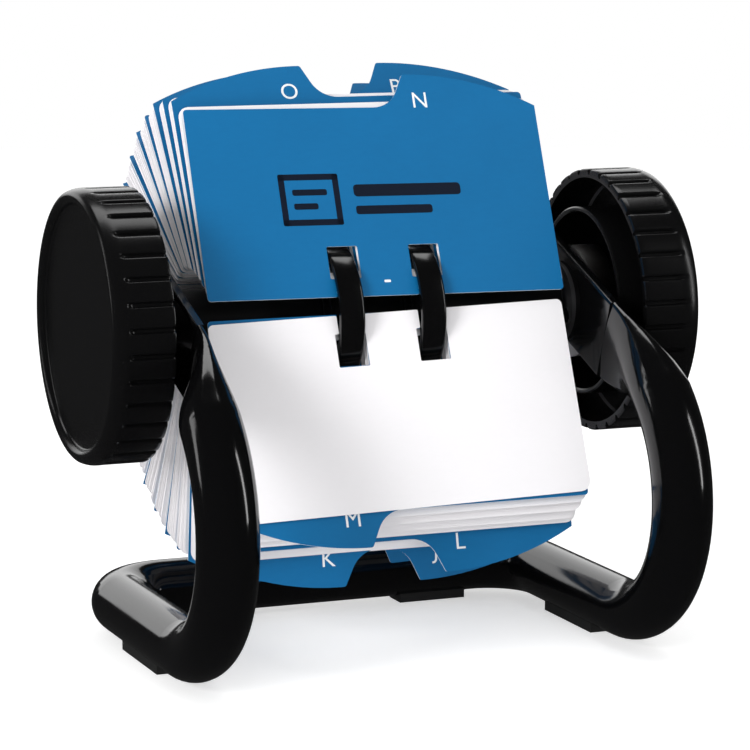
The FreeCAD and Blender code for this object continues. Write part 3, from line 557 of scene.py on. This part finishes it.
def guide_outline(side):
    """A guide's outline, with its tab on the +X half when side is 1."""
    size = sizes()
    half = size.card_width / 2
    level = size.guide_height
    top = level + size.tab_height
    slant = math.radians(26)
    fillet, crown = 8 * MM, 80 * MM
    rise = fillet * (1 - math.sin(slant))
    foot = size.tab_start - (size.tab_height - rise) * math.tan(slant)
    tab_top = arc((half, level), (size.tab_start, top), crown, False)
    hollow = arc((foot, level + rise), (foot - fillet * math.cos(slant), level), fillet, True, 8)
    slots = slot_corners()
    corner = size.guide_corner
    points = [(-half, 0)] + slots + [(half, 0)]
    radii = [corner] + [SLOT_FILLET * MM] * len(slots) + [corner]
    points += [tuple(point) for point in tab_top]
    radii += [0] * (len(tab_top) - 1) + [0.8 * MM]
    points += [tuple(point) for point in hollow]
    radii += [0] * len(hollow)
    points += [(-half, level)]
    radii += [corner]
    outline = rounded(points, radii)
    return outline if side > 0 else [Vector((-point.x, point.y)) for point in reversed(outline)]


def letter_mesh(text, height):
    """Flat letters in XY, centred on the origin."""
    curve = bpy.data.curves.new("tab_letter", "FONT")
    curve.body = text
    curve.size = height / CAPITAL_SHARE
    curve.align_x = "CENTER"
    curve.align_y = "CENTER"
    curve.resolution_u = 6
    holder = bpy.data.objects.new("tab_letter", curve)
    bpy.context.scene.collection.objects.link(holder)
    bpy.context.view_layer.update()
    data = bpy.data.meshes.new_from_object(holder)
    bpy.data.objects.remove(holder)
    return data


def add_print(mesh, data, matrix, finish):
    """Adds flat print with one finish to a guide."""
    data.transform(matrix)
    before = len(mesh.faces)
    mesh.from_mesh(data)
    mesh.faces.ensure_lookup_table()
    for face in mesh.faces[before:]:
        face.material_index = finish
    bpy.data.meshes.remove(data)


def flat_mesh(outlines):
    """Flat shapes in XY, one face for each outline."""
    sketch = bmesh.new()
    for outline in outlines:
        sketch.faces.new([sketch.verts.new((x, y, 0)) for x, y in outline])
    data = bpy.data.meshes.new("flat_print")
    sketch.to_mesh(data)
    sketch.free()
    return data


def bar(left, low, width, height):
    """A bar with round corners."""
    corners = [(left, low), (left + width, low), (left + width, low + height),
               (left, low + height)]
    return [tuple(point) for point in rounded(corners, [min(width, height) * 0.3] * 4, 3)]


def card_sign():
    """A plain sign for the front guide: a ruled card beside ruled lines of several lengths."""
    outlines = []
    line, margin = 1.7, 3.6
    left, low, wide, high = -26.0, -7.2, 17.0, 14.4
    outlines += [bar(left, low, wide, line), bar(left, low + high - line, wide, line),
                 bar(left, low, line, high), bar(left + wide - line, low, line, high)]
    for row, share in enumerate((1.0, 0.7)):
        outlines.append(bar(left + margin, low + 8.4 - 3.9 * row, (wide - 2 * margin) * share,
                            line))
    outlines += [bar(-5.0, 0.6, 31.0, 3.4), bar(-5.0, -4.4, 22.0, 2.4)]
    scaled = [[(x * MM, y * MM) for x, y in outline] for outline in outlines]
    return flat_mesh(scaled)


# --- knobs and rings --------------------------------------------------------------------------


def knob_profile():
    """(x, radius, groove share) stations over a right knob, from the shaft's end outwards."""
    rim, outer, crest, roll = KNOB_RIM, KNOB_OUTER, KNOB_CREST, KNOB_ROLL
    floor = outer - roll
    inside = floor - 2.4
    inner, rib = KNOB_INNER, KNOB_RIB_START
    skirt = rim - 2.5
    stations = []

    def add(x, radius, share=0.0):
        stations.append((x * MM, radius * MM, share))

    boss_start = inner + 3
    add(KNOB_SHAFT_END, 0)
    add(KNOB_SHAFT_END, 4)
    add(boss_start, 4)
    add(boss_start, 7.2)
    add(boss_start + 0.3, 7.5)
    add(inside, 7.5)
    add(inside, 24.6)
    add(rib + 0.4, 24.6)
    add(rib, 25.0)
    add(rib, 25.6)
    add(rib + 0.4, 26)
    add(inside - 0.5, 26)
    add(inside, 26.5)
    add(inside, skirt - 0.6)
    add(inside - 0.6, skirt)
    add(inner + 0.4, skirt)
    add(inner + 0.1, rim - 2.4)
    add(inner, rim - 2.1)
    add(inner, rim - 1.1)
    add(inner, rim - 0.5, 1.0)
    add(inner + 0.15, rim - 0.15, 1.0)
    add(inner + 0.5, rim, 1.0)
    start = outer - KNOB_SHOULDER
    for x in (67.5, 69.0, 71.0, 73.0, 75.0, 76.2):
        add(x, rim, 1.0)
    for x, share in ((76.9, 0.95), (77.4, 0.8), (77.8, 0.55), (78.1, 0.3)):
        add(x, rim, share)
    turn = 21
    meet = KNOB_SHOULDER - roll + roll * math.sin(math.radians(turn))
    drop = rim - crest - roll * math.cos(math.radians(turn))
    sweep = (meet * meet + drop * drop) / (2 * drop)
    for step in range(0, 7):
        angle = math.radians(turn / 6 * step)
        add(start + sweep * math.sin(angle), rim - sweep * (1 - math.cos(angle)),
            max(0.0, 0.14 - 0.1 * step))
    for degrees in range(turn + 11, 181, 12):
        angle = math.radians(degrees)
        add(outer - roll + roll * math.sin(angle), crest + roll * math.cos(angle))
    add(floor + 0.35, crest - roll)
    add(floor + 0.1, crest - roll - 0.2)
    add(floor, crest - roll - 0.6)
    for radius in (28, 20, 12, 5):
        add(floor, radius)
    add(floor, 0)
    return stations


def groove_angles(count, width, rim):
    """(angle, groove depth share, crown drop share) samples round a knob.

    Each groove has samples across it, in half widths, and a few on the land up to the next.
    """
    pitch = 2 * math.pi * rim / count
    half, land = width / 2, pitch / 2
    samples = []
    offsets = [-1.45, -1.15, -0.9, -0.62, -0.3, 0.0, 0.3, 0.62, 0.9, 1.15, 1.45]
    spots = [offset * half for offset in offsets]
    spots += [half * 2.1, land * 0.62, land, 2 * land - land * 0.62, 2 * land - half * 2.1]
    for index in range(count):
        for spot in sorted(spots):
            reach = abs(spot) if spot <= land else abs(2 * land - spot)
            level = min(1.0, max(0.0, (1.35 * half - reach) / (0.85 * half)))
            depth = level * level * (3 - 2 * level)
            crown = (reach - land) / land
            samples.append(((index * pitch + spot) / rim, depth, crown * crown))
    return samples


def knob_mesh(side):
    """A hollow knob with grooves that start at its inner edge and fade before its shoulder."""
    size = sizes()
    samples = groove_angles(size.groove_count, size.groove_width, KNOB_RIM * MM)
    mesh = bmesh.new()
    rings = []
    for x, radius, share in knob_profile():
        if radius == 0:
            rings.append([mesh.verts.new((side * x, 0, AXLE.z))])
            continue
        ring = []
        for angle, depth, crown in samples:
            local = radius - share * (size.groove_depth * depth + KNOB_CROWN * MM * crown)
            ring.append(mesh.verts.new(round_axle(side * x, local, angle)))
        rings.append(ring)
    for first, second in zip(rings, rings[1:]):
        skin(mesh, first, second)
    bmesh.ops.recalc_face_normals(mesh, faces=mesh.faces[:])
    return mesh


def ring_profile(side):
    """Section of a card ring: a wide hub, a thin web and a round-edged head."""
    middle = side * RING_SPACING / 2
    hub, web, head = 4.5, 2.0, 3.5
    bore, foot, neck, rim = 8.5, 9.5, 18.1, 20
    points = [(-hub, bore), (hub, bore), (hub, foot), (web, foot), (web, neck), (head, neck),
              (head, rim), (-head, rim), (-head, neck), (-web, neck), (-web, foot), (-hub, foot)]
    radii = [0, 0, 0.3, 0.6, 0.7, 0.5, 0.9, 0.9, 0.5, 0.7, 0.6, 0.3]
    return [((point.x + middle) * MM, point.y * MM)
            for point in rounded(points, radii, 4)]


# --- operators --------------------------------------------------------------------------------


class CARDFILE_OT_stand(bpy.types.Operator):
    """Finish the bent tube stand and its foot pads"""

    bl_idname = "cardfile.stand"
    bl_label = "Stand"

    def execute(self, context):
        paint_nodes(["stand_tube"], "black_enamel_finish")
        paint_nodes(["left_rail_foot", "right_rail_foot", "left_rear_foot", "right_rear_foot"],
                    "rubber_finish")
        return {"FINISHED"}


class CARDFILE_OT_bearings(bpy.types.Operator):
    """Finish the spindle, the bearings and the clutch"""

    bl_idname = "cardfile.bearings"
    bl_label = "Spindle, bearings and clutch"

    def execute(self, context):
        paint_nodes(["left_bushing", "right_bushing", "left_spacer", "left_thrust_washer",
                     "right_thrust_washer", "clutch_hub"], "bearing_finish")
        paint_nodes(["spindle", "core_pins", "clutch_cup", "clutch_rivets", "clutch_balls",
                     "clutch_springs"], "steel_finish")
        paint_nodes(["core_tube", "left_core_plug", "right_core_plug"], "core_finish")
        return {"FINISHED"}


class CARDFILE_OT_rings(bpy.types.Operator):
    """Build the two rings that the cards clip on"""

    bl_idname = "cardfile.rings"
    bl_label = "Card rings"

    def execute(self, context):
        for name, side in (("left", -1), ("right", 1)):
            mesh = turned_mesh(ring_profile(side), 192)
            add_piece(f"{name}_clip_ring", mesh, "rotor", [f"{name}_card_ring"],
                      ["ring_finish"], 40)
        return {"FINISHED"}


class CARDFILE_OT_knobs(bpy.types.Operator):
    """Build the two grooved knobs"""

    bl_idname = "cardfile.knobs"
    bl_label = "Knobs"

    def execute(self, context):
        for name, side in (("left", -1), ("right", 1)):
            add_piece(f"{name}_grip_knob", knob_mesh(side), "rotor",
                      [f"{name}_knob"], ["knob_finish"], 40)
        return {"FINISHED"}


class CARDFILE_OT_guides(bpy.types.Operator):
    """Build the lettered guides"""

    bl_idname = "cardfile.guides"
    bl_label = "Guides"

    def execute(self, context):
        size = sizes()
        outlines = {side: guide_outline(side) for side in (-1, 1)}
        gap = size.guide_thickness / 2 + PRINT_GAP * MM
        front = Matrix.Translation((0, -gap, 0)) @ Matrix.Rotation(math.pi / 2, 4, "X")
        back = Matrix.Translation((0, gap, 0)) @ Matrix.Rotation(-math.pi / 2, 4, "X")
        level = LETTER_LEVEL * MM
        for number, letter in enumerate(GUIDES):
            side = 1 if number % 2 == 0 else -1
            skew = math.radians(FRONT_GUIDE_SKEW) if number == 0 else 0.0
            matrix = sheet_matrix(guide_share(number), skew=skew)
            mesh = bmesh.new()
            add_slab(mesh, outlines[side], size.guide_thickness, matrix, 0, 1)
            for face, turn in ((front, 1), (back, -1)):
                label = letter_mesh(letter.upper(), size.letter_height)
                across = LETTER_FRONT * MM if turn > 0 else LETTER_BACK * MM
                spot = matrix @ face @ Matrix.Translation((side * across, turn * level, 0))
                add_print(mesh, label, spot, 2)
            if number == 0:
                spot = matrix @ front @ Matrix.Translation((-1 * MM, 27.2 * MM, 0))
                add_print(mesh, card_sign(), spot, 3)
                mark = flat_mesh([[(x * MM, y * MM) for x, y in bar(-0.9, -0.35, 1.8, 0.7)]])
                add_print(mesh, mark, matrix @ front @ Matrix.Translation((0, 4 * MM, 0)), 2)
            body = "front_guide" if number == 0 else "rotor"
            add_piece(f"index_guide_{letter}", mesh, body, [f"guide_{letter}"],
                      ["guide_face", "guide_edge", "light_print", "dark_print"])
        return {"FINISHED"}


class CARDFILE_OT_cards(bpy.types.Operator):
    """Build the loose cards between the guides"""

    bl_idname = "cardfile.cards"
    bl_label = "Cards"

    def execute(self, context):
        size = sizes()
        outline = card_outline()
        chance = random.Random(24)
        packs = len(GUIDES)
        for first in range(0, packs, PACKS_PER_NODE):
            mesh = bmesh.new()
            for pack in range(first, first + PACKS_PER_NODE):
                count, low, high = bunch(pack, packs, size.cards_per_pack)
                pitch = (high - low) / max(1, count - 1)
                for card in range(count):
                    shift = chance.uniform(-CARD_SHIFT, CARD_SHIFT) * pitch
                    spot = low + card * pitch + shift
                    skew = math.radians(chance.uniform(-CARD_SKEW, CARD_SKEW))
                    rise = chance.uniform(-CARD_RISE, CARD_RISE) * MM
                    slide = chance.uniform(-CARD_SLIDE, CARD_SLIDE) * MM
                    if pack == packs - 1:
                        skew += math.radians(FRONT_CARD_SKEW)
                        rise += FRONT_CARD_RISE * MM
                    near, far = guide_share(pack), guide_share(pack + 1)
                    matrix = sheet_matrix(near + (far - near) * spot, slide, rise, skew)
                    add_slab(mesh, outline, size.card_thickness, matrix, 0, 0)
            number = first // PACKS_PER_NODE + 1
            add_piece(f"loose_cards_{number}", mesh, "rotor",
                      [f"card_packs_{number}"], ["card_face"])
        return {"FINISHED"}


class CARDFILE_OT_studio(bpy.types.Operator):
    """Build the floor, the soft lights and the camera"""

    bl_idname = "cardfile.studio"
    bl_label = "Studio"

    def execute(self, context):
        build_floor()
        build_lights()
        build_camera()
        context.scene.view_settings.view_transform = "Standard"
        return {"FINISHED"}


def build_floor():
    """A pale round floor, a little brighter than the light alone makes it."""
    mesh = bmesh.new()
    reach, sides = 1.6, 96
    corners = []
    for step in range(sides):
        angle = 2 * math.pi * step / sides
        corners.append(mesh.verts.new((reach * math.cos(angle), reach * math.sin(angle), 0)))
    mesh.faces.new(corners)
    data = bpy.data.meshes.new("floor")
    mesh.to_mesh(data)
    mesh.free()
    floor = bpy.data.objects.new("floor", data)
    bpy.context.scene.collection.objects.link(floor)
    material = paper("floor_finish", colours().floor, 0.9, 0.004, 0.0)
    shader = material.node_tree.nodes["Principled BSDF"]
    shader.inputs["Emission Color"].default_value = (1, 1, 1, 1)
    shader.inputs["Emission Strength"].default_value = 0.52
    data.materials.append(material)
    floor.visible_glossy = False


def build_world():
    """White behind the object, even soft light on it, and little of it in reflections."""
    world = bpy.data.worlds.new("studio")
    bpy.context.scene.world = world
    world.use_nodes = True
    tree = world.node_tree
    sky = tree.nodes["Background"]
    sky.inputs["Color"].default_value = (1, 1, 1, 1)
    path = tree.nodes.new("ShaderNodeLightPath")
    glossy = remap(tree, path.outputs["Is Glossy Ray"], 0, 1, 0.5, 0.03)
    shown = tree.nodes.new("ShaderNodeMix")
    shown.inputs["B"].default_value = 1.0
    tree.links.new(path.outputs["Is Camera Ray"], shown.inputs["Factor"])
    tree.links.new(glossy, shown.inputs["A"])
    tree.links.new(shown.outputs["Result"], sky.inputs["Strength"])


def add_lamp(name, place, aim, spread, radiance, diffuse, glossy):
    """A soft box of this radiance, seen by matt surfaces, by reflections or by both."""
    light = bpy.data.lights.new(name, "AREA")
    light.shape = "RECTANGLE"
    light.size, light.size_y = spread
    light.energy = radiance * math.pi * spread[0] * spread[1]
    lamp = bpy.data.objects.new(name, light)
    bpy.context.scene.collection.objects.link(lamp)
    lamp.location = place
    way = Vector(aim) - Vector(place)
    lamp.rotation_euler = way.to_track_quat("-Z", "Y").to_euler()
    lamp.visible_diffuse = diffuse
    lamp.visible_glossy = glossy
    lamp.visible_camera = False


def build_lights():
    build_world()
    middle = (0, 0, 0.07)
    add_lamp("key_box", (-1.1, -0.62, 0.42), middle, (0.4, 0.5), 20.0, True, False)
    add_lamp("top_box", (0.1, -0.3, 1.3), middle, (1.0, 1.0), 1.2, True, False)
    add_lamp("top_panel", (0.1, 0.35, 1.2), middle, (1.0, 0.45), 3.6, False, True)
    add_lamp("back_panel", (0.35, 1.4, 0.56), middle, (2.6, 0.7), 1.6, False, True)
    add_lamp("left_panel", (-1.1, 0.35, 0.5), middle, (0.2, 0.8), 3.0, False, True)
    add_lamp("right_panel", (1.0, -0.7, 0.5), middle, (0.16, 0.9), 8.0, False, True)


def build_camera():
    camera = bpy.data.cameras.new("camera")
    camera.lens = 153.0
    camera.sensor_width = 36.0
    camera.shift_x = -0.0019
    holder = bpy.data.objects.new("camera", camera)
    bpy.context.scene.collection.objects.link(holder)
    place = Vector((-0.3165, -0.7928, 0.2065))
    aim = Vector((0.002735, 0, 0.07252))
    holder.location = place
    holder.rotation_euler = (aim - place).to_track_quat("-Z", "Y").to_euler()
    bpy.context.scene.camera = holder


class CARDFILE_PT_panel(bpy.types.Panel):
    """The card file's sizes, colours and building steps."""

    bl_idname = "CARDFILE_PT_panel"
    bl_label = "Card File"
    bl_space_type = "VIEW_3D"
    bl_region_type = "UI"
    bl_category = "Card File"

    def draw(self, context):
        layout = self.layout
        for settings in (context.scene.card_file_sizes, context.scene.card_file_colours):
            column = layout.column(align=True)
            for name in settings.__annotations__:
                column.prop(settings, name)
        for operator in STEPS:
            layout.operator(operator.bl_idname)


STEPS = (
    CARDFILE_OT_stand, CARDFILE_OT_bearings, CARDFILE_OT_rings, CARDFILE_OT_knobs,
    CARDFILE_OT_guides, CARDFILE_OT_cards, CARDFILE_OT_studio,
)
CLASSES = (CardFileSizes, CardFileColours) + STEPS + (CARDFILE_PT_panel,)


def register():
    for cls in CLASSES:
        bpy.utils.register_class(cls)
    bpy.types.Scene.card_file_sizes = PointerProperty(type=CardFileSizes)
    bpy.types.Scene.card_file_colours = PointerProperty(type=CardFileColours)


def unregister():
    del bpy.types.Scene.card_file_colours
    del bpy.types.Scene.card_file_sizes
    for cls in reversed(CLASSES):
        bpy.utils.unregister_class(cls)


def main():
    register()
    bpy.ops.cardfile.stand()
    bpy.ops.cardfile.bearings()
    bpy.ops.cardfile.rings()
    bpy.ops.cardfile.knobs()
    bpy.ops.cardfile.guides()
    bpy.ops.cardfile.cards()
    bpy.ops.cardfile.studio()


if __name__ == "__main__":
    main()
